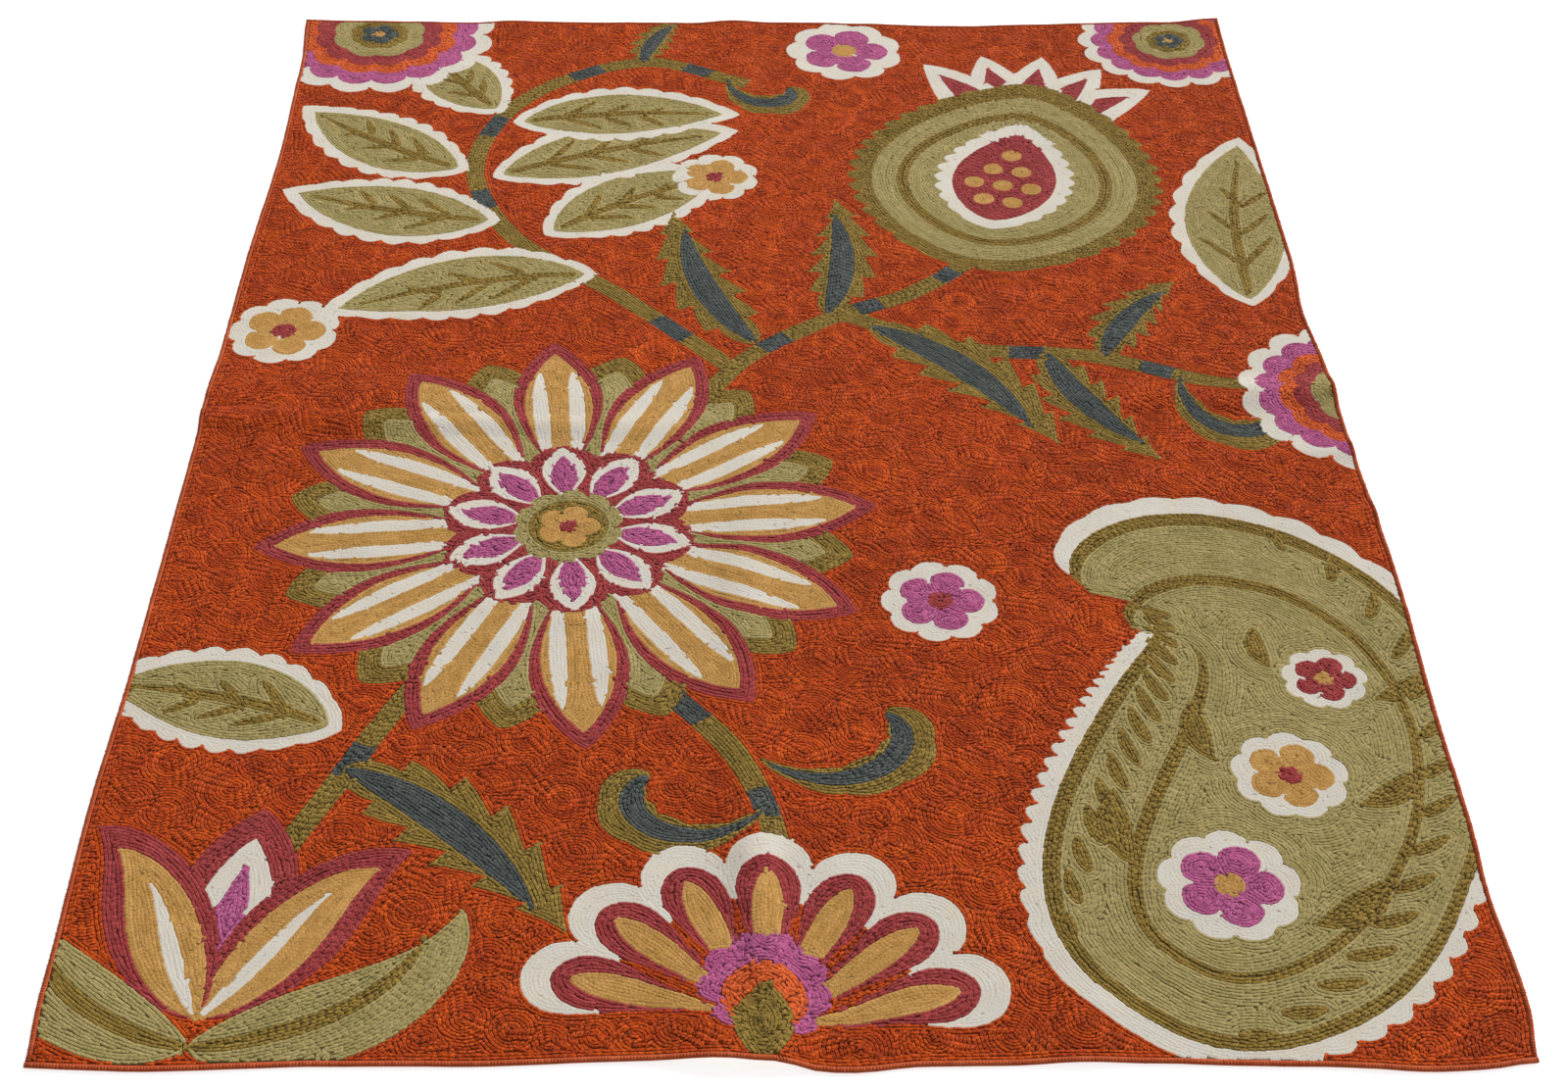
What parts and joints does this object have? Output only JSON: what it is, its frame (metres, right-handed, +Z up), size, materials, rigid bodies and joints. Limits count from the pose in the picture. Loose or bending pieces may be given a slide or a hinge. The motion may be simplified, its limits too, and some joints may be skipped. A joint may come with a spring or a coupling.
{
  "type": "chain-stitched suzani rug",
  "caption": "Flat rectangular wool rug, worked all over in chain stitch with large flowers on a red-orange ground, with overcast edges and soft storage folds.",
  "frame": {"origin": "centre of the rug's bounding box, on the floor that it lies on", "axes": "+Z up out of the worked face, Y along the length with the pictured near end at -Y, X across the width"},
  "size_m": [1.54, 2.1468, 0.0168],
  "materials": {
    "worked_cloth": "matte wool chain stitch on cotton canvas",
    "yarn_rust": "matte wool yarn, red-orange ground",
    "yarn_coral": "matte wool yarn, light orange",
    "yarn_cream": "matte wool yarn, cream",
    "yarn_light_olive": "matte wool yarn, light olive",
    "yarn_dark_olive": "matte wool yarn, dark olive",
    "yarn_crimson": "matte wool yarn, crimson",
    "yarn_orchid": "matte wool yarn, orchid",
    "yarn_ochre": "matte wool yarn, ochre",
    "yarn_slate": "matte wool yarn, slate",
    "edge_yarn": "matte wool overcast edge"
  },
  "bodies": {
    "root": {"cloth": "worked_cloth", "binding_front": "edge_yarn", "binding_back": "edge_yarn", "binding_left": "edge_yarn", "binding_right": "edge_yarn"}
  },
  "joints": []
}
